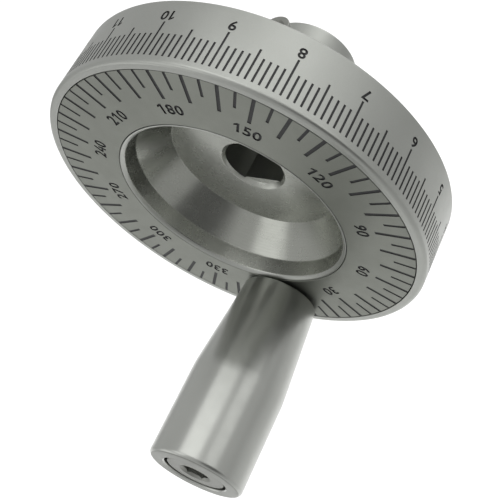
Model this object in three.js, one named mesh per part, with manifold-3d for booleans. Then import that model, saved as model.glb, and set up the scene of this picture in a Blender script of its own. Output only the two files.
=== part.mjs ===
// Dial handwheel, 100 mm, with a degree scale on its face, a division scale round its rim and a
// revolving crank handle.
//
// Millimetres, +Z up. The wheel turns about the Y axis and its dial faces -Y. The origin is on
// that axis at the rear end of the hub, where the wheel seats against a shoulder on the shaft.
// The crank handle stands below the axis, at the dial's 0 degree mark.
import * as THREE from 'three';
import { mergeVertices } from 'three/addons/utils/BufferGeometryUtils.js';
import Module from 'manifold-3d';

const wasm = await Module();
wasm.setup();

// ---- Driving dimensions -------------------------------------------------------------------

const GAP = 0.2;                  // between parts that are clamped or bonded together
const RUNNING_GAP = 0.3;          // between parts that turn on each other
const LATHE_STEPS = 96;           // facets round the wheel
const SMALL_STEPS = 48;           // facets round the handle and the small turned parts

// Wheel
const WHEEL_RADIUS = 50;
const RIM_WIDTH = 18.8;           // from the dial face to the back of the wheel
const FACE_TO_HUB_END = 52;
const RIM_CORNER = 1;             // rounding of the rim's front corner
const BACK_CHAMFER = 0.6;
const HUB_RADIUS = 12.75;
const HUB_ROOT = 2;               // fillet where the hub meets the back
const HUB_CORNER = 0.8;

// Dished recess in the middle of the face
const RECESS_RADIUS = 29.2;
const RECESS_CHAMFER = 0.8;
const RECESS_WALL_FOOT_RADIUS = 28.5;
const RECESS_WALL_DEPTH = 5;
const RECESS_FLOOR_RADIUS = 22.7;
const RECESS_DEPTH = 13.5;

// D-shaped shaft bore
const BORE_RADIUS = 8;
const BORE_FLAT = 6;              // from the axis to the flat, on the handle's side
const MOUTH_CHAMFER = 0.8;        // round the bore's mouth in the recess
const MOUTH_SHELF = 0.3;          // how far the chamfer runs on inside the bore's radius, over the flat

// Dial plate let into the face
const DIAL_INNER_RADIUS = 30.5;
const DIAL_OUTER_RADIUS = 47.5;
const DIAL_THICKNESS = 2;

// M4 socket screw through the top of the hub
const CLAMP_DIAMETER = 4;
const CLAMP_HEAD_RADIUS = 3.5;
const CLAMP_HEAD_HEIGHT = 4;
const CLAMP_HEX = 3;
const CLAMP_HEAD_TOP = 19.2;      // from the axis to the top of the head
const CLAMP_TIP = 8.6;            // from the axis to the tip
const CLAMP_FROM_HUB_END = 8.6;

// Revolving handle
const HANDLE_OFFSET = 39;         // from the wheel's axis to the handle's
const GRIP_CLEARANCE = 0.9;       // between the dial and the grip
const GRIP_LENGTH = 53.8;
const GRIP_FOOT_RADIUS = 10.4;
const GRIP_RADIUS = 12.8;
const GRIP_CONE = 26;             // straight taper from the foot
const GRIP_BLEND = 3;             // curve from the taper into the barrel
const GRIP_FOOT_CORNER = 0.5;
const GRIP_END_CORNER = 1.2;
const GRIP_BORE_RADIUS = 7.2;
const COUNTERBORE_RADIUS = 8.6;

const SCREW_RADIUS = 4;           // M8
const SCREW_LENGTH = 62;
const SCREW_HEAD_RADIUS = 7.95;   // a wide, low head
const SCREW_HEAD_HEIGHT = 6;
const SCREW_HEAD_SUNK = 0.4;      // below the grip's end
const SCREW_HEX = 7;
const END_WASHER_RADIUS = 8.1;
const END_WASHER_THICKNESS = 1.5;
const SLEEVE_RADIUS = 6;
const BUSH_LENGTH = 12;
const FOOT_WASHER_RADIUS = 8.2;
const FOOT_WASHER_THICKNESS = 0.5;

// ---- Stations along the axis ----------------------------------------------------------------

const FACE_Y = -FACE_TO_HUB_END;
const BACK_Y = FACE_Y + RIM_WIDTH;
const FLOOR_Y = FACE_Y + RECESS_DEPTH;
const POCKET_Y = FACE_Y + DIAL_THICKNESS + GAP;
const GRIP_FOOT_Y = FACE_Y - GRIP_CLEARANCE;
const GRIP_END_Y = GRIP_FOOT_Y - GRIP_LENGTH;
const SCREW_TOP_Y = GRIP_END_Y + SCREW_HEAD_SUNK;
const SCREW_SEAT_Y = SCREW_TOP_Y + SCREW_HEAD_HEIGHT;
const END_WASHER_Y = SCREW_SEAT_Y + GAP;
const SLEEVE_END_Y = END_WASHER_Y + END_WASHER_THICKNESS + GAP;
const COUNTERBORE_FLOOR_Y = END_WASHER_Y + END_WASHER_THICKNESS + RUNNING_GAP;
const SCREW_TIP_Y = SCREW_SEAT_Y + SCREW_LENGTH;

// ---- Geometry helpers -----------------------------------------------------------------------

// Points on a quarter arc about (centreX, centreY), from one angle to another in degrees.
function arc(centreX, centreY, radius, fromDegrees, toDegrees, steps) {
  const points = [];
  for (let i = 0; i <= steps; i += 1) {
    const angle = THREE.MathUtils.degToRad(fromDegrees + ((toDegrees - fromDegrees) * i) / steps);
    points.push([centreX + radius * Math.cos(angle), centreY + radius * Math.sin(angle)]);
  }
  return points;
}

// Only positions, with the vertices that faces share merged into one.
function welded(geometry) {
  const bare = geometry.clone();
  bare.deleteAttribute('normal');
  bare.deleteAttribute('uv');
  return mergeVertices(bare, 1e-5);
}

// A closed [radius, y] outline turned about Y. Outlines run anticlockwise, so faces point out.
function turned(outline, steps) {
  const points = outline.map(([radius, y]) => new THREE.Vector2(radius, y));
  const onAxis = outline[0][0] === 0;
  if (!onAxis) points.push(points[0].clone());
  return welded(new THREE.LatheGeometry(points, steps));
}

function ring(innerRadius, outerRadius, lowY, highY, steps) {
  return turned([
    [innerRadius, lowY],
    [outerRadius, lowY],
    [outerRadius, highY],
    [innerRadius, highY],
  ], steps);
}

// A round bar along Y between two stations.
function bar(radius, lowY, highY, steps = SMALL_STEPS) {
  const geometry = new THREE.CylinderGeometry(radius, radius, highY - lowY, steps);
  geometry.translate(0, (lowY + highY) / 2, 0);
  return welded(geometry);
}

function hexBar(acrossFlats, lowY, highY) {
  return bar(acrossFlats / Math.sqrt(3), lowY, highY, 6);
}

function toSolid(geometry) {
  return new wasm.Manifold(new wasm.Mesh({
    numProp: 3,
    vertProperties: Float32Array.from(geometry.attributes.position.array),
    triVerts: Uint32Array.from(geometry.index.array),
  }));
}

function toGeometry(solid) {
  const mesh = solid.getMesh();
  const geometry = new THREE.BufferGeometry();
  geometry.setAttribute('position', new THREE.BufferAttribute(mesh.vertProperties, 3));
  geometry.setIndex(new THREE.BufferAttribute(mesh.triVerts, 1));
  return geometry;
}

function cut(geometry, ...tools) {
  return toGeometry(tools.reduce((rest, tool) => rest.subtract(toSolid(tool)), toSolid(geometry)));
}

// ---- Materials --------------------------------------------------------------------------------

const satinAluminium = () => new THREE.MeshStandardMaterial({
  color: 0xb4b6b0, metalness: 0.9, roughness: 0.42,
});
const dialAluminium = () => new THREE.MeshStandardMaterial({
  color: 0x8f928d, metalness: 0.8, roughness: 0.55,
});
const polishedAluminium = () => new THREE.MeshStandardMaterial({
  color: 0xc2c4c0, metalness: 1.0, roughness: 0.25,
});
const steel = () => new THREE.MeshStandardMaterial({
  color: 0x9a9a98, metalness: 1.0, roughness: 0.3,
});
const bronze = () => new THREE.MeshStandardMaterial({
  color: 0xa07a45, metalness: 0.9, roughness: 0.45,
});
const blackPolymer = () => new THREE.MeshStandardMaterial({
  color: 0x1c1c1c, metalness: 0.0, roughness: 0.6,
});

// ---- Wheel ------------------------------------------------------------------------------------

// Rim, dished web and hub, turned from one piece. Bored D-shaped, with a tapped hole for the
// handle's screw and one through the top of the hub for the clamp screw.
function wheelBody() {
  const cornerY = FACE_Y + RIM_CORNER;
  const mouthY = FLOOR_Y + MOUTH_CHAMFER + MOUTH_SHELF;
  const outline = [
    [0, mouthY],
    [BORE_RADIUS - MOUTH_SHELF, mouthY],
    [BORE_RADIUS + MOUTH_CHAMFER, FLOOR_Y],
    [RECESS_FLOOR_RADIUS, FLOOR_Y],
    [RECESS_WALL_FOOT_RADIUS, FACE_Y + RECESS_WALL_DEPTH],
    [RECESS_RADIUS, FACE_Y + RECESS_CHAMFER],
    [RECESS_RADIUS + RECESS_CHAMFER, FACE_Y],
    [DIAL_INNER_RADIUS - GAP, FACE_Y],
    [DIAL_INNER_RADIUS - GAP, POCKET_Y],
    [DIAL_OUTER_RADIUS + GAP, POCKET_Y],
    [DIAL_OUTER_RADIUS + GAP, FACE_Y],
    ...arc(WHEEL_RADIUS - RIM_CORNER, cornerY, RIM_CORNER, -90, 0, 4),
    [WHEEL_RADIUS, BACK_Y - BACK_CHAMFER],
    [WHEEL_RADIUS - BACK_CHAMFER, BACK_Y],
    ...arc(HUB_RADIUS + HUB_ROOT, BACK_Y + HUB_ROOT, HUB_ROOT, 270, 180, 4),
    ...arc(HUB_RADIUS - HUB_CORNER, -HUB_CORNER, HUB_CORNER, 0, 90, 3),
    [0, 0],
  ];
  return cut(turned(outline, LATHE_STEPS), dBore(), handleScrewHole(), clampScrewHole());
}

function dBore() {
  const past = 1;
  const lowY = FLOOR_Y - past;
  const flatSide = new THREE.BoxGeometry(3 * BORE_RADIUS, past - lowY + 2, BORE_RADIUS);
  flatSide.translate(0, (lowY + past) / 2, -BORE_FLAT - BORE_RADIUS / 2);
  return cut(bar(BORE_RADIUS, lowY, past), welded(flatSide));
}

function handleScrewHole() {
  const belowTip = 2;
  const hole = bar(SCREW_RADIUS + RUNNING_GAP, FACE_Y, SCREW_TIP_Y + belowTip, 24);
  hole.translate(0, 0, -HANDLE_OFFSET);
  return hole;
}

function clampScrewHole() {
  const hole = bar(CLAMP_DIAMETER / 2 + RUNNING_GAP, BORE_RADIUS / 2, HUB_RADIUS + 1, 24);
  hole.rotateX(Math.PI / 2);
  hole.translate(0, -CLAMP_FROM_HUB_END, 0);
  return hole;
}

// The annular plate that carries the degree scale, held down by the handle's sleeve.
function faceDialPlate() {
  const plate = ring(DIAL_INNER_RADIUS, DIAL_OUTER_RADIUS, FACE_Y, FACE_Y + DIAL_THICKNESS, LATHE_STEPS);
  const hole = bar(SCREW_RADIUS + 0.5, FACE_Y - 1, POCKET_Y, 24);
  hole.translate(0, 0, -HANDLE_OFFSET);
  return cut(plate, hole);
}

// Socket-head cap screw along Y, its head at the low end.
function capScrew(radius, headRadius, headHeight, hex, topY, tipY, steps) {
  const edge = headHeight / 16;
  const seatY = topY + headHeight;
  const outline = [
    [0, topY],
    [headRadius - edge, topY],
    [headRadius, topY + edge],
    [headRadius, seatY],
    [radius, seatY],
    [radius, tipY - radius / 4],
    [radius * 0.75, tipY],
    [0, tipY],
  ];
  return cut(turned(outline, steps), hexBar(hex, topY - 1, topY + headHeight / 2));
}

function hubClampScrew() {
  const screw = capScrew(CLAMP_DIAMETER / 2, CLAMP_HEAD_RADIUS, CLAMP_HEAD_HEIGHT, CLAMP_HEX,
    -CLAMP_HEAD_TOP, -CLAMP_TIP, 32);
  screw.rotateX(-Math.PI / 2);
  screw.translate(0, -CLAMP_FROM_HUB_END, 0);
  return screw;
}

// ---- Handle, each piece about its own axis at x = 0, z = 0 ---------------------------------------

// Radius of the grip at a distance from its foot: a straight taper that curves into the barrel.
function gripRadiusAt(distance) {
  const taper = (GRIP_RADIUS - GRIP_FOOT_RADIUS) / (GRIP_CONE + GRIP_BLEND / 2);
  const beyond = Math.min(Math.max(distance - GRIP_CONE, 0), GRIP_BLEND);
  const along = Math.min(distance, GRIP_CONE + GRIP_BLEND);
  return GRIP_FOOT_RADIUS + taper * (along - (beyond * beyond) / (2 * GRIP_BLEND));
}

function grip() {
  const sideStations = [GRIP_CONE + GRIP_BLEND, GRIP_CONE + 0.75 * GRIP_BLEND,
    GRIP_CONE + 0.5 * GRIP_BLEND, GRIP_CONE + 0.25 * GRIP_BLEND, GRIP_CONE];
  const footEdge = gripRadiusAt(GRIP_FOOT_CORNER);
  const outline = [
    [COUNTERBORE_RADIUS, GRIP_END_Y],
    ...arc(GRIP_RADIUS - GRIP_END_CORNER, GRIP_END_Y + GRIP_END_CORNER, GRIP_END_CORNER, -90, 0, 4),
    ...sideStations.map((distance) => [gripRadiusAt(distance), GRIP_FOOT_Y - distance]),
    [footEdge, GRIP_FOOT_Y - GRIP_FOOT_CORNER],
    [footEdge - GRIP_FOOT_CORNER, GRIP_FOOT_Y],
    [GRIP_BORE_RADIUS, GRIP_FOOT_Y],
    [GRIP_BORE_RADIUS, COUNTERBORE_FLOOR_Y],
    [COUNTERBORE_RADIUS, COUNTERBORE_FLOOR_Y],
  ];
  return turned(outline, SMALL_STEPS);
}

function bush(lowY) {
  return ring(SLEEVE_RADIUS + RUNNING_GAP, GRIP_BORE_RADIUS - GAP, lowY, lowY + BUSH_LENGTH, SMALL_STEPS);
}

const innerBush = () => bush(GRIP_FOOT_Y - BUSH_LENGTH);
const outerBush = () => bush(COUNTERBORE_FLOOR_Y);

const axleSleeve = () => ring(SCREW_RADIUS + RUNNING_GAP, SLEEVE_RADIUS, SLEEVE_END_Y, FACE_Y - GAP, SMALL_STEPS);

const endWasher = () => ring(SCREW_RADIUS + RUNNING_GAP, END_WASHER_RADIUS,
  END_WASHER_Y, END_WASHER_Y + END_WASHER_THICKNESS, SMALL_STEPS);

const footWasher = () => ring(SLEEVE_RADIUS + GAP, FOOT_WASHER_RADIUS,
  FACE_Y - GAP - FOOT_WASHER_THICKNESS, FACE_Y - GAP, SMALL_STEPS);

const handleScrew = () => capScrew(SCREW_RADIUS, SCREW_HEAD_RADIUS, SCREW_HEAD_HEIGHT, SCREW_HEX,
  SCREW_TOP_Y, SCREW_TIP_Y, SMALL_STEPS);

// ---- Assembly -----------------------------------------------------------------------------------

function named(name, geometry, material) {
  geometry.computeVertexNormals();
  const mesh = new THREE.Mesh(geometry, material);
  mesh.name = name;
  return mesh;
}

const group = new THREE.Group();
group.add(
  named('wheel_body', wheelBody(), satinAluminium()),
  named('face_dial_plate', faceDialPlate(), dialAluminium()),
  named('hub_clamp_screw', hubClampScrew(), steel()),
);

const handle = new THREE.Group();
handle.position.z = -HANDLE_OFFSET;
handle.add(
  named('handle_grip', grip(), polishedAluminium()),
  named('grip_bush_inner', innerBush(), bronze()),
  named('grip_bush_outer', outerBush(), bronze()),
  named('handle_axle_sleeve', axleSleeve(), steel()),
  named('handle_end_washer', endWasher(), steel()),
  named('handle_foot_washer', footWasher(), blackPolymer()),
  named('handle_screw', handleScrew(), steel()),
);
group.add(handle);

export default group;
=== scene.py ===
"""Looks of a 100 mm dial handwheel: a turned and bead-blasted aluminium wheel with engraved,
black-filled scales on its face and round its rim, and a polished revolving handle.

Sizes are in millimetres and become metres when a mesh is made. The wheel's axis is Y and the
dial faces -Y. Angles on the dial count from the handle at -Z towards +X, as its numbers do.
"""
import math
import bmesh
import bpy
from mathutils import Matrix, Vector


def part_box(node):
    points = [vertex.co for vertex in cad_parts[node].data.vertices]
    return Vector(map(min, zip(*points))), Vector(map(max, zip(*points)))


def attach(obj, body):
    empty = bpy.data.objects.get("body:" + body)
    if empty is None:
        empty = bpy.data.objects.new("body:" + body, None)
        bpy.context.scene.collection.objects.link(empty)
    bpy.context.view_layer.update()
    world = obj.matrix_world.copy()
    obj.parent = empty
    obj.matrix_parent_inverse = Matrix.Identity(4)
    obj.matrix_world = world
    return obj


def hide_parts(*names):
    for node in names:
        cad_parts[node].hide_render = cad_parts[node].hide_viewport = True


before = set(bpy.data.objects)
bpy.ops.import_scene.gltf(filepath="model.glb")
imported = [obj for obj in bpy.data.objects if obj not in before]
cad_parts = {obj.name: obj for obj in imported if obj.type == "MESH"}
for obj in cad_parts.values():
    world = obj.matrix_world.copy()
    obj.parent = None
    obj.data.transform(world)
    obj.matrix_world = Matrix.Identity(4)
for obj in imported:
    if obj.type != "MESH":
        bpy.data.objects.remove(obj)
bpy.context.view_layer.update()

MM = 0.001


# ---- Sizes taken from the CAD frame ---------------------------------------------------------

def box_mm(node):
    """Lowest and highest corner of a CAD node, in millimetres."""
    return tuple(Vector([round(value / MM, 3) for value in corner]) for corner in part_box(node))


wheel_high = box_mm("wheel_body")[1]
plate_low, plate_high = box_mm("face_dial_plate")
grip_low, grip_high = box_mm("handle_grip")
screw_low, screw_high = box_mm("handle_screw")
clamp_low, clamp_high = box_mm("hub_clamp_screw")
washer_low, washer_high = box_mm("handle_end_washer")
sleeve_low, sleeve_high = box_mm("handle_axle_sleeve")
foot_low, foot_high = box_mm("handle_foot_washer")
inner_bush_low, inner_bush_high = box_mm("grip_bush_inner")
outer_bush_low, outer_bush_high = box_mm("grip_bush_outer")

WHEEL_RADIUS = wheel_high.x
PLATE_RADIUS = plate_high.x
FACE_Y = plate_low.y
HANDLE_Z = (screw_low.z + screw_high.z) / 2
GRIP_FOOT_Y = grip_high.y
GRIP_END_Y = grip_low.y
GRIP_RADIUS = grip_high.x
CLAMP_Y = (clamp_low.y + clamp_high.y) / 2

# ---- Sizes that no box gives ----------------------------------------------------------------

BACK_Y = FACE_Y + 18.8
RIM_CORNER = 1
BACK_CHAMFER = 0.6
HUB_RADIUS = 12.75
HUB_ROOT = 2
HUB_CORNER = 0.8
RECESS_RADIUS = 29.2
RECESS_CHAMFER = 0.8
WALL_FOOT_RADIUS = 28.5
WALL_FOOT_Y = FACE_Y + 5
FLOOR_RADIUS = 22.7
FLOOR_Y = FACE_Y + 13.5
BORE_RADIUS = 8
BORE_FLAT = 6                   # from the axis to the flat
MOUTH_CHAMFER = 0.8             # round the bore's mouth in the recess
MOUTH_SHELF = 0.3               # how far the chamfer runs on inside the bore's radius
MOUTH_FOOT_Y = FLOOR_Y + MOUTH_CHAMFER + MOUTH_SHELF
PLATE_INNER_RADIUS = 30.5
RING_EDGE = 0.12                # broken edges of the dial plate, the rings and the bore's mouth
SOFT_EDGE = 0.25                # rounding of the small turned edges in the recess
BROKEN_EDGE = 0.1               # other small edges of the wheel, and those under the screw heads
FINE_EDGE = 0.08                # the wheel's finest edges
FIXED_GAP = 0.2                 # between parts that are clamped together
RUNNING_GAP = 0.3               # round the screws, and between the end washer and the grip
GRIP_FOOT_RADIUS = 10.4
GRIP_CONE = 26
GRIP_BLEND = 3
GRIP_FOOT_CORNER = 0.5
GRIP_END_CORNER = 1.2
GRIP_BORE_RADIUS = 7.2
COUNTERBORE_RADIUS = 8.6
COUNTERBORE_FLOOR_Y = washer_high.y + RUNNING_GAP
SCREW_RADIUS = 4                # M8
SCREW_HEX = 7
CLAMP_SCREW_RADIUS = 2          # M4
CLAMP_HEX = 3
CLAMP_HEAD_HEIGHT = 4
PLATE_HOLE_RADIUS = SCREW_RADIUS + 0.5
SLEEVE_BORE_RADIUS = SCREW_RADIUS + RUNNING_GAP
BUSH_BORE_RADIUS = 6.3
FOOT_WASHER_BORE_RADIUS = 6.2

# Scale on the dial plate: a mark every 5 degrees, a long one every 10 and a number every 30
DIAL_MARKS = 72
DIAL_LONG_INNER = 39
DIAL_SHORT_INNER = 42.2
DIAL_LONG_WIDTH = 0.9
DIAL_SHORT_WIDTH = 0.7
DIAL_NUMBERS = range(0, 360, 30)
DIAL_NUMBER_RADIUS = 35.7
DIAL_DIGIT = (2.05, 3.25)
DIAL_DIGIT_PITCH = 2.35

# Scale round the rim: 200 marks in 20 numbered tens
RIM_MARKS = 200
RIM_SCALE_START = 0.9           # degrees from the handle to the rim's zero
RIM_MARK_FRONT_Y = FACE_Y + 2.1
RIM_MARK_BACK_Y = {"minor": FACE_Y + 8.4, "medium": FACE_Y + 10.35, "major": FACE_Y + 11.85}
RIM_MARK_WIDTH = 0.5
RIM_NUMBER_Y = FACE_Y + 13.7
RIM_DIGIT = (1.8, 2.75)
RIM_DIGIT_PITCH = 1.95

ENGRAVING_DEPTH = 0.12
PAST = 1                        # how far a cutter runs on past a surface
WHEEL_STEPS = 400               # two facets for each mark on the rim
PLATE_STEPS = 288               # four for each mark on the dial
ROUND_STEPS = 192
SMALL_HOLE_STEPS = 48
CLAMP_HOLE_STEPS = 64
CORNER_STEPS = 6
SECOND_MATERIAL = 1             # its place in a piece's list of materials


# ---- Mesh helpers ---------------------------------------------------------------------------

def arc(centre_radius, centre_y, radius, start, end, steps=CORNER_STEPS):
    """Points of a round corner in an outline; angles in degrees, 0 outwards and 90 along +Y."""
    angles = [math.radians(start + (end - start) * i / steps) for i in range(steps + 1)]
    return [(centre_radius + radius * math.cos(a), centre_y + radius * math.sin(a)) for a in angles]


def object_from(name, mesh_maker, materials):
    """A shown object whose mesh is made in millimetres by mesh_maker and kept in metres."""
    mesh = bpy.data.meshes.new(name)
    bm = bmesh.new()
    mesh_maker(bm)
    bmesh.ops.recalc_face_normals(bm, faces=bm.faces)
    bmesh.ops.scale(bm, vec=(MM, MM, MM), verts=bm.verts)
    bm.to_mesh(mesh)
    bm.free()
    piece = bpy.data.objects.new(name, mesh)
    bpy.context.scene.collection.objects.link(piece)
    for material in materials:
        mesh.materials.append(material)
    return piece


def add_turned(bm, outline, steps=ROUND_STEPS, offset_z=0.0, phase=0.0):
    """Turns a closed outline of (radius, y) points about an axis along Y."""
    rings = []
    for radius, y in outline:
        count = 1 if radius == 0 else steps
        angles = [math.tau * (i + phase) / steps for i in range(count)]
        rings.append([
            bm.verts.new((radius * math.sin(a), y, offset_z - radius * math.cos(a))) for a in angles
        ])
    for a, b in zip(rings, rings[1:] + rings[:1]):
        for i in range(steps):
            j = (i + 1) % steps
            corners = [a[i % len(a)], a[j % len(a)], b[j % len(b)], b[i % len(b)]]
            unique = list(dict.fromkeys(corners))
            if len(unique) > 2:
                bm.faces.new(unique)


def add_block(bm, size, matrix):
    """A rectangular cutter of the given size, placed by a matrix."""
    bmesh.ops.create_cube(bm, size=1, matrix=matrix @ Matrix.Diagonal((*size, 1)))


def add_bar(bm, radius, low_y, high_y, offset_z=0.0, steps=ROUND_STEPS):
    """A round or, with few steps, a many-sided cutter along Y."""
    add_turned(bm, [(0, low_y), (radius, low_y), (radius, high_y), (0, high_y)], steps, offset_z)


def carve(piece, mesh_maker, materials=()):
    """Cuts what mesh_maker makes out of a piece. The cut faces take the cutter's material."""
    cutter = object_from(piece.name + "_cutter", mesh_maker, materials)
    modifier = piece.modifiers.new("carve", "BOOLEAN")
    modifier.operation = "DIFFERENCE"
    modifier.solver = "EXACT"
    modifier.object = cutter
    if materials:
        modifier.material_mode = "TRANSFER"
    bake_modifiers(piece)
    bpy.data.objects.remove(cutter)


def bake_modifiers(piece):
    """Makes the mesh with its modifiers the piece's own mesh."""
    graph = bpy.context.evaluated_depsgraph_get()
    mesh = bpy.data.meshes.new_from_object(piece.evaluated_get(graph))
    piece.modifiers.clear()
    piece.data = mesh


def finish_shading(piece):
    """Round surfaces shade smooth and flat ones flat, with sharp edges between them."""
    sharpest_round = 32         # largest angle in degrees between two faces of a round surface
    mesh = piece.data
    mesh.shade_smooth()
    mesh.set_sharp_from_angle(angle=math.radians(sharpest_round))
    weighted = piece.modifiers.new("weighted normals", "WEIGHTED_NORMAL")
    weighted.keep_sharp = True
    weighted.mode = "FACE_AREA"


def show(piece, body, node):
    """Finishes a piece: shades it, hangs it on the body it rides on and hides the CAD node it stands
    for.
    """
    finish_shading(piece)
    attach(piece, body)
    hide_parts(node)


# ---- Digits ---------------------------------------------------------------------------------

DIGIT_BOLDNESS = 0.024          # in the font's own units
NOUGHT_WIDTH = 0.476

# Two digits have outlines of their own: a one with a slanted stroke, and an open four, because
# the wheel's boolean fails with the font's four once it is made bolder.
ONE_OUTLINE = ((-0.05, -0.5), (0.25, -0.5), (0.25, 0.5), (0.0, 0.5),
               (-0.42, 0.30), (-0.42, 0.13), (-0.05, 0.27))
FOUR_OUTLINE = ((0.15, -0.5), (0.42, -0.5), (0.42, -0.28), (0.54, -0.28), (0.54, -0.12),
                (0.42, -0.12), (0.42, 0.14), (0.15, 0.14), (0.15, -0.12), (-0.2, -0.12),
                (0.28, 0.5), (0.0, 0.5), (-0.52, -0.13), (-0.52, -0.28), (0.15, -0.28))


def digit_mesh(character):
    """One of the font's digits as a solid, one unit high and deep and centred on the origin.
    A nought is one unit wide and the other digits keep their own proportions to it."""
    curve = bpy.data.curves.new("digit", "FONT")
    curve.body = character
    curve.extrude = 0.5
    curve.offset = DIGIT_BOLDNESS
    curve.resolution_u = 3
    holder = bpy.data.objects.new("digit", curve)
    bpy.context.scene.collection.objects.link(holder)
    graph = bpy.context.evaluated_depsgraph_get()
    mesh = bpy.data.meshes.new_from_object(holder.evaluated_get(graph))
    bpy.data.objects.remove(holder)
    bm = bmesh.new()
    bm.from_mesh(mesh)
    touching = 1e-5
    bmesh.ops.remove_doubles(bm, verts=bm.verts, dist=touching)
    low = Vector([min(vert.co[k] for vert in bm.verts) for k in range(3)])
    high = Vector([max(vert.co[k] for vert in bm.verts) for k in range(3)])
    size = Vector((NOUGHT_WIDTH, high.y - low.y, high.z - low.z))
    for vert in bm.verts:
        vert.co = Vector([(vert.co[k] - (low[k] + high[k]) / 2) / size[k] for k in range(3)])
    bm.to_mesh(mesh)
    bm.free()
    return mesh


def outline_mesh(outline):
    """A digit as a solid from an outline of its own, as deep as the font's digits."""
    bm = bmesh.new()
    front, back = ([bm.verts.new((x, y, z)) for x, y in outline] for z in (0.5, -0.5))
    bm.faces.new(front)
    bm.faces.new(list(reversed(back)))
    for i in range(len(outline)):
        bm.faces.new((front[i - 1], back[i - 1], back[i], front[i]))
    mesh = bpy.data.meshes.new("digit")
    bm.to_mesh(mesh)
    bm.free()
    return mesh


DIGITS = {character: digit_mesh(character) for character in "02356789"}
DIGITS["1"] = outline_mesh(ONE_OUTLINE)
DIGITS["4"] = outline_mesh(FOUR_OUTLINE)


def add_digit(bm, character, size, matrix):
    """A digit's cutter of the given width and height, placed by a matrix with its front along +Z."""
    before = len(bm.verts)
    bm.from_mesh(DIGITS[character])
    bm.verts.ensure_lookup_table()
    scale = Matrix.Diagonal((size[0], size[1], 4 * ENGRAVING_DEPTH, 1))
    bmesh.ops.transform(bm, matrix=matrix @ scale, verts=bm.verts[before:])


def basis(right, up, out, place):
    """A placing matrix from its three axes and its origin."""
    matrix = Matrix((right, up, out)).transposed().to_4x4()
    matrix.translation = place
    return matrix


def radial(degrees):
    """Unit vector from the wheel's axis towards an angle on the dial."""
    a = math.radians(degrees)
    return Vector((math.sin(a), 0, -math.cos(a)))


def along_scale(degrees):
    """Unit vector round the wheel, towards greater angles."""
    a = math.radians(degrees)
    return Vector((math.cos(a), 0, math.sin(a)))


FRONT = Vector((0, -1, 0))


# ---- Materials ------------------------------------------------------------------------------

class Nodes:
    """Short names for building a material's node tree."""

    def __init__(self, name):
        self.material = bpy.data.materials.new(name)
        self.material.use_nodes = True
        self.tree = self.material.node_tree
        self.shader = self.tree.nodes["Principled BSDF"]
        self.place = self.node("ShaderNodeTexCoord").outputs["Object"]

    def node(self, kind, **settings):
        made = self.tree.nodes.new(kind)
        for key, value in settings.items():
            setattr(made, key, value)
        return made

    def link(self, source, target):
        if isinstance(source, (int, float)):
            target.default_value = source
        else:
            self.tree.links.new(source, target)

    def math(self, operation, *values):
        made = self.node("ShaderNodeMath", operation=operation)
        for value, socket in zip(values, made.inputs):
            self.link(value, socket)
        return made.outputs[0]

    def noise(self, size_mm, detail=2.0, roughness=0.5):
        """Fractal noise whose features are about size_mm across."""
        made = self.node("ShaderNodeTexNoise")
        made.inputs["Scale"].default_value = 1 / (size_mm * MM)
        made.inputs["Detail"].default_value = detail
        made.inputs["Roughness"].default_value = roughness
        self.link(self.place, made.inputs["Vector"])
        return made.outputs["Fac"]

    def ramp(self, value, low, high, from_low=0.3, from_high=0.7):
        """Maps a value onto a range of numbers."""
        made = self.node("ShaderNodeMapRange")
        for socket, number in zip(made.inputs[1:5], (from_low, from_high, low, high)):
            socket.default_value = number
        self.link(value, made.inputs["Value"])
        return made.outputs["Result"]

    def mix_colour(self, factor, first, second):
        """Blends two colours. A colour mix's own sockets come after those of the other kinds."""
        made = self.node("ShaderNodeMix", data_type="RGBA")
        self.link(factor, made.inputs["Factor"])
        made.inputs[6].default_value = (*first, 1)
        made.inputs[7].default_value = (*second, 1)
        return made.outputs[2]

    def lathe_station(self, offset_z=0.0):
        """Distance over a turned surface in millimetres: radius on its faces, length on its sides."""
        split = self.node("ShaderNodeSeparateXYZ")
        self.link(self.place, split.inputs[0])
        z = self.math("SUBTRACT", split.outputs["Z"], offset_z * MM)
        radius = self.math("SQRT", self.math("ADD", self.math("POWER", split.outputs["X"], 2.0),
                                             self.math("POWER", z, 2.0)))
        total = self.math("ADD", radius, split.outputs["Y"])
        return self.math("MULTIPLY", total, 1 / MM)

    def tool_marks(self, station, pitch_mm):
        """Fine grooves that a turning tool leaves, from 0 to 1, with a slightly uneven pitch."""
        wander_mm = 0.2
        line = self.node("ShaderNodeCombineXYZ")
        self.link(station, line.inputs[0])
        uneven = self.node("ShaderNodeTexNoise", noise_dimensions="1D")
        uneven.inputs["Scale"].default_value = 1 / (4 * pitch_mm)
        uneven.inputs["Detail"].default_value = 3
        self.link(station, uneven.inputs["W"])
        moved = self.math("ADD", station, self.math("MULTIPLY", uneven.outputs["Fac"], wander_mm))
        wave = self.math("SINE", self.math("MULTIPLY", moved, math.tau / pitch_mm))
        return self.math("MULTIPLY_ADD", wave, 0.5, 0.5)

    def bump(self, height, depth_mm, strength=1.0, under=None):
        made = self.node("ShaderNodeBump")
        made.inputs["Strength"].default_value = strength
        made.inputs["Distance"].default_value = depth_mm * MM
        self.link(height, made.inputs["Height"])
        if under is not None:
            self.link(under, made.inputs["Normal"])
        return made.outputs["Normal"]

    def set(self, **sockets):
        """Sets or links the shader's sockets, named with underscores for spaces."""
        for key, value in sockets.items():
            self.link(value, self.shader.inputs[key.replace("_", " ")])


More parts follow.
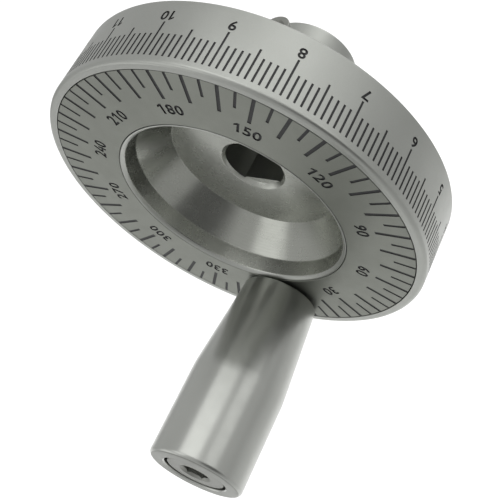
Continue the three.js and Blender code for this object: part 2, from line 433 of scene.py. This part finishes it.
def blasted_aluminium(name, light, dark, roughness, grain_mm, grain_depth, pitch_mm):
    """Turned, then bead-blasted and clear anodised: a fine even grain over faint tool marks."""
    n = Nodes(name)
    grain = n.noise(grain_mm, detail=3, roughness=0.65)
    mottle = n.noise(14, detail=4)
    handling = n.noise(5, detail=6, roughness=0.7)
    marks = n.tool_marks(n.lathe_station(), pitch_mm)
    tone = n.math("ADD", n.ramp(grain, -0.22, 0.22), n.ramp(mottle, 0.3, 0.7))
    n.set(
        Base_Color=n.mix_colour(tone, dark, light),
        Metallic=1.0,
        Roughness=n.ramp(handling, roughness - 0.04, roughness + 0.05),
        Normal=n.bump(marks, 0.004, 0.5, under=n.bump(grain, grain_depth)),
    )
    return n.material


def turned_aluminium(name, light, dark, roughness, pitch_mm, mark_depth, anisotropy, offset_z=0.0):
    """Bright turned metal: fine rings from the tool, and highlights stretched across them."""
    across_the_rings = 0.25     # of a turn from the tangent
    n = Nodes(name)
    marks = n.tool_marks(n.lathe_station(offset_z), pitch_mm)
    mottle = n.noise(9, detail=4)
    smear = n.noise(3.5, detail=4, roughness=0.6)
    tangent = n.node("ShaderNodeTangent", direction_type="RADIAL", axis="Y")
    tone = n.math("ADD", n.ramp(marks, -0.15, 0.15, 0, 1), n.ramp(mottle, 0.25, 0.75))
    n.set(
        Base_Color=n.mix_colour(tone, dark, light),
        Metallic=1.0,
        Roughness=n.ramp(smear, roughness - 0.02, roughness + 0.03),
        Anisotropic=anisotropy,
        Anisotropic_Rotation=across_the_rings,
        Tangent=tangent.outputs[0],
        Normal=n.bump(marks, mark_depth, 0.5),
    )
    return n.material


def plain_steel(name, light, dark, roughness):
    """Plain machined steel, slightly cloudy and with small pits."""
    n = Nodes(name)
    cloud = n.noise(1.6, detail=5, roughness=0.65)
    pits = n.noise(0.18, detail=2)
    n.set(
        Base_Color=n.mix_colour(n.ramp(cloud, 0.1, 0.9), dark, light),
        Metallic=1.0,
        Roughness=n.ramp(cloud, roughness - 0.05, roughness + 0.1),
        Normal=n.bump(pits, 0.006, 0.6),
    )
    return n.material


def sintered_bronze():
    """Porous bearing bronze."""
    n = Nodes("sintered_bronze")
    pores = n.noise(0.12, detail=3, roughness=0.7)
    stain = n.noise(2.5, detail=4)
    tone = n.math("ADD", n.ramp(pores, -0.3, 0.3), n.ramp(stain, 0.3, 0.7))
    n.set(
        Base_Color=n.mix_colour(tone, (0.25, 0.16, 0.07), (0.60, 0.44, 0.24)),
        Metallic=0.9,
        Roughness=n.ramp(stain, 0.4, 0.55),
        Normal=n.bump(pores, 0.02),
    )
    return n.material


def black_paint():
    """The matt black that fills the engraved marks, a little rubbed."""
    n = Nodes("engraving_black")
    rubbed = n.noise(0.35, detail=4, roughness=0.7)
    grain = n.noise(0.08, detail=2)
    worn = n.ramp(rubbed, 0, 1, 0.5, 0.8)
    n.set(
        Base_Color=n.mix_colour(worn, (0.012, 0.012, 0.013), (0.07, 0.07, 0.07)),
        Metallic=0.0,
        Roughness=n.ramp(rubbed, 0.45, 0.65),
        Normal=n.bump(grain, 0.01, 0.5),
    )
    return n.material


def black_acetal():
    """Matt black bearing plastic."""
    n = Nodes("black_acetal")
    grain = n.noise(0.15, detail=3)
    wear = n.noise(2, detail=4)
    n.set(
        Base_Color=n.mix_colour(wear, (0.012, 0.012, 0.012), (0.035, 0.035, 0.035)),
        Metallic=0.0,
        Roughness=n.ramp(wear, 0.45, 0.65),
        Normal=n.bump(grain, 0.01, 0.5),
    )
    return n.material


WHEEL_METAL = blasted_aluminium("wheel_blasted", (0.430, 0.440, 0.414), (0.375, 0.385, 0.358), 0.36,
                                grain_mm=0.22, grain_depth=0.010, pitch_mm=0.35)
DIAL_METAL = blasted_aluminium("dial_blasted", (0.283, 0.294, 0.262), (0.241, 0.251, 0.223), 0.45,
                               grain_mm=0.2, grain_depth=0.012, pitch_mm=0.5)
RECESS_METAL = turned_aluminium("recess_turned", (0.425, 0.435, 0.400), (0.375, 0.385, 0.350), 0.26,
                                pitch_mm=0.22, mark_depth=0.0006, anisotropy=0.75)
GRIP_METAL = turned_aluminium("grip_polished", (0.480, 0.490, 0.462), (0.450, 0.460, 0.432), 0.30,
                              pitch_mm=0.16, mark_depth=0.0006, offset_z=HANDLE_Z, anisotropy=0.4)
# the grip's end: its rougher faced-off finish is real, and its darker colour than the polished side is
# painted shade
GRIP_END_SHADED_METAL = turned_aluminium("grip_end_faced_painted_shade", (0.320, 0.328, 0.304), (0.280, 0.287, 0.265), 0.42,
                                  pitch_mm=0.3, mark_depth=0.0012, offset_z=HANDLE_Z, anisotropy=0.3)
SCREW_METAL = plain_steel("screw_plain", (0.33, 0.335, 0.31), (0.25, 0.255, 0.235), 0.42)
AXLE_METAL = plain_steel("axle_ground", (0.52, 0.52, 0.51), (0.40, 0.40, 0.39), 0.25)
BRONZE = sintered_bronze()
INK = black_paint()
ACETAL = black_acetal()


# ---- Wheel ----------------------------------------------------------------------------------

def wheel_outline():
    """Outline of the wheel without its bore, from the recess's floor round the rim to the hub."""
    edge = BROKEN_EDGE
    fine = FINE_EDGE
    pocket_y = plate_high.y + FIXED_GAP
    pocket_inner = PLATE_INNER_RADIUS - FIXED_GAP
    pocket_outer = PLATE_RADIUS + FIXED_GAP
    chamfer_radius = RECESS_RADIUS + RECESS_CHAMFER
    chamfer_foot_y = FACE_Y + RECESS_CHAMFER
    mouth_radius = BORE_RADIUS + MOUTH_CHAMFER
    back_radius = WHEEL_RADIUS - BACK_CHAMFER
    side_end_y = BACK_Y - BACK_CHAMFER
    return [
        (0, MOUTH_FOOT_Y),
        (BORE_RADIUS - MOUTH_SHELF, MOUTH_FOOT_Y),
        (mouth_radius - RING_EDGE, FLOOR_Y + RING_EDGE),
        (mouth_radius + RING_EDGE * 1.25, FLOOR_Y),
        (FLOOR_RADIUS - SOFT_EDGE, FLOOR_Y),
        (FLOOR_RADIUS + SOFT_EDGE * 0.15, FLOOR_Y - SOFT_EDGE * 0.35),
        (WALL_FOOT_RADIUS - SOFT_EDGE * 0.5, WALL_FOOT_Y + SOFT_EDGE * 0.7),
        (WALL_FOOT_RADIUS + SOFT_EDGE * 0.08, WALL_FOOT_Y - SOFT_EDGE),
        (RECESS_RADIUS - SOFT_EDGE * 0.08, chamfer_foot_y + SOFT_EDGE * 0.6),
        (RECESS_RADIUS + SOFT_EDGE * 0.4, chamfer_foot_y - SOFT_EDGE * 0.4),
        (chamfer_radius - edge, FACE_Y + edge),
        (chamfer_radius + fine, FACE_Y),
        (pocket_inner - fine, FACE_Y),
        (pocket_inner, FACE_Y + fine),
        (pocket_inner, pocket_y),
        (pocket_outer, pocket_y),
        (pocket_outer, FACE_Y + edge),
        (pocket_outer + edge, FACE_Y),
        *arc(WHEEL_RADIUS - RIM_CORNER, FACE_Y + RIM_CORNER, RIM_CORNER, -90, 0),
        (WHEEL_RADIUS, side_end_y - edge),
        (WHEEL_RADIUS - fine, side_end_y + fine),
        (back_radius + fine, BACK_Y - fine),
        (back_radius - edge, BACK_Y),
        *arc(HUB_RADIUS + HUB_ROOT, BACK_Y + HUB_ROOT, HUB_ROOT, 270, 180),
        *arc(HUB_RADIUS - HUB_CORNER, -HUB_CORNER, HUB_CORNER, 0, 90),
        (0, 0),
    ]


def add_bore(bm):
    """The D-shaped shaft bore, with its flat on the handle's side."""
    step = 2                    # degrees
    circle = [radial(a) * BORE_RADIUS for a in range(0, 360, step)]
    half_flat = math.sqrt(BORE_RADIUS ** 2 - BORE_FLAT ** 2)
    outline = [
        Vector((half_flat, 0, -BORE_FLAT)),
        *[point for point in circle if point.z > -BORE_FLAT],
        Vector((-half_flat, 0, -BORE_FLAT)),
    ]
    front, back = ([bm.verts.new((p.x, y, p.z)) for p in outline] for y in (FLOOR_Y - PAST, PAST))
    bm.faces.new(front)
    bm.faces.new(back)
    for i in range(len(outline)):
        bm.faces.new((front[i - 1], front[i], back[i], back[i - 1]))


def stood_up(y):
    """Matrix that stands a thing made along Y upright at a place along the wheel's axis."""
    return Matrix.Translation((0, y, 0)) @ Matrix.Rotation(math.radians(-90), 4, "X")


def add_clamp_hole(bm):
    """The clearance for the clamp screw, from the bore out through the top of the hub."""
    made = bmesh.new()
    radius = CLAMP_SCREW_RADIUS + RUNNING_GAP
    add_bar(made, radius, -HUB_RADIUS - PAST, -BORE_RADIUS / 2, steps=CLAMP_HOLE_STEPS)
    bmesh.ops.transform(made, matrix=stood_up(CLAMP_Y), verts=made.verts)
    holder = bpy.data.meshes.new("clamp_hole")
    made.to_mesh(holder)
    made.free()
    bm.from_mesh(holder)
    bpy.data.meshes.remove(holder)


def add_wheel_holes(bm):
    """The bore, the clamp screw's hole and the blind hole that the handle's screw ends in."""
    below_tip = 2
    add_bore(bm)
    add_clamp_hole(bm)
    add_bar(bm, SLEEVE_BORE_RADIUS, FACE_Y, screw_high.y + below_tip, HANDLE_Z, SMALL_HOLE_STEPS)


def rim_mark_kind(index):
    """Every tenth mark is long and every fifth of medium length."""
    if index % 10 == 0:
        return "major"
    return "medium" if index % 5 == 0 else "minor"


def add_rim_scale(bm):
    """Cutters for the marks and numbers round the rim."""
    for index in range(RIM_MARKS):
        degrees = RIM_SCALE_START + index * 360 / RIM_MARKS
        back_y = RIM_MARK_BACK_Y[rim_mark_kind(index)]
        size = (RIM_MARK_WIDTH, back_y - RIM_MARK_FRONT_Y, 2 * ENGRAVING_DEPTH)
        place = radial(degrees) * WHEEL_RADIUS + Vector((0, (RIM_MARK_FRONT_Y + back_y) / 2, 0))
        add_block(bm, size, basis(along_scale(degrees), FRONT, radial(degrees), place))
        if index % 10 == 0:
            add_rim_number(bm, str(index // 10), degrees)


def add_rim_number(bm, text, degrees):
    """Cutters for a number's digits, side by side round the rim."""
    pitch = math.degrees(RIM_DIGIT_PITCH / WHEEL_RADIUS)
    for position, character in enumerate(text):
        at = degrees + (position - (len(text) - 1) / 2) * pitch
        place = radial(at) * WHEEL_RADIUS + Vector((0, RIM_NUMBER_Y, 0))
        add_digit(bm, character, RIM_DIGIT, basis(along_scale(at), FRONT, radial(at), place))


def paint_recess(piece):
    """The dished recess is turned bright, and the rest of the wheel is blasted."""
    radius_limit = RECESS_RADIUS + 0.2
    depth_limit = MOUTH_FOOT_Y + 0.1
    normal_limit = 0.1          # greatest Y of the normal of a face that isn't turned backwards
    for face in piece.data.polygons:
        centre = face.center / MM
        is_inside = math.hypot(centre.x, centre.z) < radius_limit
        is_in_recess = is_inside and FACE_Y < centre.y < depth_limit
        if is_in_recess and face.normal.y < normal_limit:
            face.material_index = SECOND_MATERIAL


def make_wheel():
    phase = 0.5                 # a mark falls in the middle of a facet
    piece = object_from("wheel", lambda bm: add_turned(bm, wheel_outline(), WHEEL_STEPS, phase=phase),
                        (WHEEL_METAL, RECESS_METAL))
    paint_recess(piece)
    carve(piece, add_wheel_holes)
    carve(piece, add_rim_scale, (INK,))
    show(piece, "wheel", "wheel_body")


# ---- Dial plate -----------------------------------------------------------------------------

def plate_outline():
    edge = RING_EDGE
    return [
        (PLATE_INNER_RADIUS, FACE_Y + edge),
        (PLATE_INNER_RADIUS + edge, FACE_Y),
        (PLATE_RADIUS - edge, FACE_Y),
        (PLATE_RADIUS, FACE_Y + edge),
        (PLATE_RADIUS, plate_high.y),
        (PLATE_INNER_RADIUS, plate_high.y),
    ]


def add_dial_scale(bm):
    """Cutters for the marks and numbers on the dial's face. The marks run out over its edge."""
    outer = PLATE_RADIUS + PAST / 2
    for index in range(DIAL_MARKS):
        degrees = index * 360 / DIAL_MARKS
        is_long = index % 2 == 0
        inner = DIAL_LONG_INNER if is_long else DIAL_SHORT_INNER
        width = DIAL_LONG_WIDTH if is_long else DIAL_SHORT_WIDTH
        size = (width, outer - inner, 2 * ENGRAVING_DEPTH)
        place = radial(degrees) * (inner + outer) / 2 + Vector((0, FACE_Y, 0))
        add_block(bm, size, basis(-along_scale(degrees), radial(degrees), FRONT, place))
    for number in DIAL_NUMBERS:
        add_dial_number(bm, str(number))


def add_dial_number(bm, text):
    """Cutters for a number's digits, side by side round the dial."""
    pitch = math.degrees(DIAL_DIGIT_PITCH / DIAL_NUMBER_RADIUS)
    for position, character in enumerate(text):
        at = int(text) - (position - (len(text) - 1) / 2) * pitch
        place = radial(at) * DIAL_NUMBER_RADIUS + Vector((0, FACE_Y, 0))
        add_digit(bm, character, DIAL_DIGIT, basis(-along_scale(at), radial(at), FRONT, place))


def make_dial_plate():
    piece = object_from("dial_plate", lambda bm: add_turned(bm, plate_outline(), PLATE_STEPS),
                        (DIAL_METAL,))
    carve(piece, lambda bm: add_bar(bm, PLATE_HOLE_RADIUS, FACE_Y - PAST, plate_high.y + PAST, HANDLE_Z))
    carve(piece, add_dial_scale, (INK,))
    show(piece, "wheel", "face_dial_plate")


# ---- Socket screws --------------------------------------------------------------------------

def add_cap_screw(bm, radius, head_radius, head_height, top_y, tip_y):
    """A cap screw along Y with its head at the low end, before its socket is cut."""
    edge = head_height / 16
    seat_y = top_y + head_height
    add_turned(bm, [
        (0, top_y),
        (head_radius - 2 * edge, top_y),
        *arc(head_radius - edge, top_y + edge, edge, -90, 0, 4),
        (head_radius, seat_y - BROKEN_EDGE),
        (head_radius - BROKEN_EDGE, seat_y),
        (radius, seat_y),
        (radius, tip_y - radius / 4),
        (radius * 0.75, tip_y),
        (0, tip_y),
    ])


def carve_socket(piece, hex_size, top_y, depth):
    """Cuts a hexagon socket into a screw's head, then the small countersink at its mouth."""
    corner = hex_size / math.sqrt(3)
    mouth = 0.35
    cone = [
        (0, top_y - mouth),
        (corner + 2 * mouth, top_y - mouth),
        (corner - mouth, top_y + 2 * mouth),
        (0, top_y + 2 * mouth),
    ]
    carve(piece, lambda bm: add_bar(bm, corner, top_y - PAST, top_y + depth, steps=6))
    carve(piece, lambda bm: add_turned(bm, cone))


def make_handle_screw():
    head_height = washer_low.y - FIXED_GAP - screw_low.y
    piece = object_from("handle_cap_screw", lambda bm: add_cap_screw(
        bm, SCREW_RADIUS, screw_high.x, head_height, screw_low.y, screw_high.y), (SCREW_METAL,))
    carve_socket(piece, SCREW_HEX, screw_low.y, head_height / 2)
    piece.data.transform(Matrix.Translation((0, 0, HANDLE_Z * MM)))
    show(piece, "wheel", "handle_screw")


def make_clamp_screw():
    top_y = -clamp_high.z       # it is made along Y and then stood up
    tip_y = -clamp_low.z
    piece = object_from("clamp_cap_screw", lambda bm: add_cap_screw(
        bm, CLAMP_SCREW_RADIUS, clamp_high.x, CLAMP_HEAD_HEIGHT, top_y, tip_y), (SCREW_METAL,))
    carve_socket(piece, CLAMP_HEX, top_y, CLAMP_HEAD_HEIGHT / 2)
    piece.data.transform(stood_up(CLAMP_Y * MM))
    show(piece, "wheel", "hub_clamp_screw")


# ---- Handle ---------------------------------------------------------------------------------

def grip_radius_at(distance):
    """Radius of the grip at a distance from its foot: a straight taper that curves into the barrel."""
    taper = (GRIP_RADIUS - GRIP_FOOT_RADIUS) / (GRIP_CONE + GRIP_BLEND / 2)
    beyond = min(max(distance - GRIP_CONE, 0), GRIP_BLEND)
    along = min(distance, GRIP_CONE + GRIP_BLEND)
    return GRIP_FOOT_RADIUS + taper * (along - beyond * beyond / (2 * GRIP_BLEND))


def grip_outline():
    blend_steps = 12
    mouth_edge = 0.3
    side = [GRIP_CONE + GRIP_BLEND * i / blend_steps for i in range(blend_steps, -1, -1)]
    foot_edge = grip_radius_at(GRIP_FOOT_CORNER)
    return [
        (COUNTERBORE_RADIUS, GRIP_END_Y + mouth_edge),
        (COUNTERBORE_RADIUS + mouth_edge, GRIP_END_Y),
        *arc(GRIP_RADIUS - GRIP_END_CORNER, GRIP_END_Y + GRIP_END_CORNER, GRIP_END_CORNER, -90, 0),
        *[(grip_radius_at(distance), GRIP_FOOT_Y - distance) for distance in side],
        (foot_edge, GRIP_FOOT_Y - GRIP_FOOT_CORNER),
        *arc(foot_edge - GRIP_FOOT_CORNER, GRIP_FOOT_Y - GRIP_FOOT_CORNER, GRIP_FOOT_CORNER, 10, 90),
        (GRIP_BORE_RADIUS, GRIP_FOOT_Y),
        (GRIP_BORE_RADIUS, COUNTERBORE_FLOOR_Y),
        (COUNTERBORE_RADIUS, COUNTERBORE_FLOOR_Y),
    ]


def ring_outline(inner, outer, low_y, high_y):
    """A washer or bush with its edges broken."""
    edge = RING_EDGE
    return [
        (inner, low_y + edge),
        (inner + edge, low_y),
        (outer - edge, low_y),
        (outer, low_y + edge),
        (outer, high_y - edge),
        (outer - edge, high_y),
        (inner + edge, high_y),
        (inner, high_y - edge),
    ]


def make_handle_ring(name, outline, material, body, node):
    piece = object_from(name, lambda bm: add_turned(bm, outline, offset_z=HANDLE_Z), (material,))
    show(piece, body, node)


def make_grip():
    """The grip, polished round its side and only faced off at its end. Its end face is coloured darker
    than its side, which is painted shade.
    """
    end_normal = -0.9           # greatest Y of the normal of a face at the end
    piece = object_from("grip", lambda bm: add_turned(bm, grip_outline(), offset_z=HANDLE_Z),
                        (GRIP_METAL, GRIP_END_SHADED_METAL))
    for face in piece.data.polygons:
        if face.normal.y < end_normal:
            face.material_index = SECOND_MATERIAL
    show(piece, "grip", "handle_grip")


def make_handle_rings():
    """The bushes that turn with the grip, and the sleeve and washers that stay with the wheel."""
    for name, low, high in (("inner", inner_bush_low, inner_bush_high),
                            ("outer", outer_bush_low, outer_bush_high)):
        outline = ring_outline(BUSH_BORE_RADIUS, high.x, low.y, high.y)
        make_handle_ring(f"bush_{name}", outline, BRONZE, "grip", f"grip_bush_{name}")
    for name, low, high in (("axle_sleeve", sleeve_low, sleeve_high),
                            ("end_washer", washer_low, washer_high)):
        outline = ring_outline(SLEEVE_BORE_RADIUS, high.x, low.y, high.y)
        make_handle_ring(name, outline, AXLE_METAL, "wheel", f"handle_{name}")
    outline = ring_outline(FOOT_WASHER_BORE_RADIUS, foot_high.x, foot_low.y, foot_high.y)
    make_handle_ring("foot_washer", outline, ACETAL, "wheel", "handle_foot_washer")


make_wheel()
make_dial_plate()
make_handle_screw()
make_clamp_screw()
make_grip()
make_handle_rings()


# ---- Studio ---------------------------------------------------------------------------------

FLOOR_Z = -600
FLOOR_HALF_WIDTH = 6000
SOFTBOX_DISTANCE = 1200


def make_floor():
    """A plain pale floor, well below the wheel so that no shadow touches it."""
    n = Nodes("floor_white")
    shade = n.noise(400, detail=2)
    n.set(
        Base_Color=n.mix_colour(shade, (0.86, 0.86, 0.86), (0.90, 0.90, 0.90)),
        Roughness=0.8,
    )

    def add_sheet(bm):
        bmesh.ops.create_grid(bm, x_segments=4, y_segments=4, size=FLOOR_HALF_WIDTH,
                              matrix=Matrix.Translation((0, 0, FLOOR_Z)))

    floor = object_from("floor", add_sheet, (n.material,))


def add_area_light(name, place, size, power):
    """A square light that the camera doesn't see, facing down until it is turned."""
    light = bpy.data.lights.new(name, "AREA")
    light.shape = "SQUARE"
    light.size = size * MM
    light.energy = power
    holder = bpy.data.objects.new(name, light)
    bpy.context.scene.collection.objects.link(holder)
    holder.location = Vector(place) * MM
    holder.visible_camera = False
    return holder


def add_softbox(name, direction, size, power):
    """A soft light that faces the object from a direction."""
    outwards = Vector(direction).normalized()
    holder = add_area_light(name, outwards * SOFTBOX_DISTANCE, size, power)
    holder.rotation_mode = "QUATERNION"
    holder.rotation_quaternion = outwards.to_track_quat("Z", "Y")


def make_world():
    """An even pale surround that is darker on one side, as a room is."""
    brightness = 0.62
    shade_brightness = 0.13
    shade_side = Vector((0.76, -0.60, 0.36)).normalized()
    shade_ends = 39             # degrees from its middle
    shade_is_full = 15
    world = bpy.data.worlds.new("surround")
    world.use_nodes = True
    nodes = world.node_tree.nodes
    link = world.node_tree.links.new
    direction = nodes.new("ShaderNodeTexCoord")
    towards = nodes.new("ShaderNodeVectorMath")
    towards.operation = "DOT_PRODUCT"
    towards.inputs[1].default_value = shade_side
    strength = nodes.new("ShaderNodeMapRange")
    strength.interpolation_type = "SMOOTHSTEP"
    strength.inputs["From Min"].default_value = math.cos(math.radians(shade_ends))
    strength.inputs["From Max"].default_value = math.cos(math.radians(shade_is_full))
    strength.inputs["To Min"].default_value = brightness
    strength.inputs["To Max"].default_value = shade_brightness
    link(direction.outputs["Generated"], towards.inputs[0])
    link(towards.outputs["Value"], strength.inputs["Value"])
    link(strength.outputs["Result"], nodes["Background"].inputs["Strength"])
    nodes["Background"].inputs["Color"].default_value = (1, 1, 1, 1)
    bpy.context.scene.world = world


make_floor()
make_world()
add_softbox("top", (0, 0.15, 1), 1000, 3.0)
add_softbox("back", (0.2, 0.9, 0.4), 800, 2.6)
add_softbox("right", (0.77, 0.28, 0.57), 600, 0.8)
add_softbox("front_left", (-0.64, -0.77, 0), 600, 0.75)
add_softbox("front_top", (-0.36, -0.6, 0.7), 600, 0.95)
add_softbox("top_right", (0.4, 0.5, 0.77), 600, 0.5)
add_area_light("floor_wash", (-520, 330, FLOOR_Z + 220), 1500, 4.6)     # whitens the floor behind


# ---- Camera ---------------------------------------------------------------------------------

CAMERA_PLACE = Vector((126.1, -157.6, 165.0))
CAMERA_AIM = Vector((5.7, -58.0, -7.4))
CAMERA_ROLL = 31.2              # degrees that the top of the picture leans to the right
CAMERA_LENS = 68.5
SENSOR_WIDTH = 36


def make_camera():
    data = bpy.data.cameras.new("camera")
    data.sensor_width = SENSOR_WIDTH
    data.lens = CAMERA_LENS
    data.clip_start = 0.01
    data.clip_end = 50
    camera = bpy.data.objects.new("camera", data)
    bpy.context.scene.collection.objects.link(camera)
    level = (CAMERA_AIM - CAMERA_PLACE).to_track_quat("-Z", "Y").to_matrix().to_4x4()
    roll = Matrix.Rotation(math.radians(-CAMERA_ROLL), 4, "Z")
    camera.matrix_world = Matrix.Translation(CAMERA_PLACE * MM) @ level @ roll
    bpy.context.scene.camera = camera


make_camera()
bpy.context.scene.view_settings.view_transform = "Standard"

bpy.context.view_layer.update()
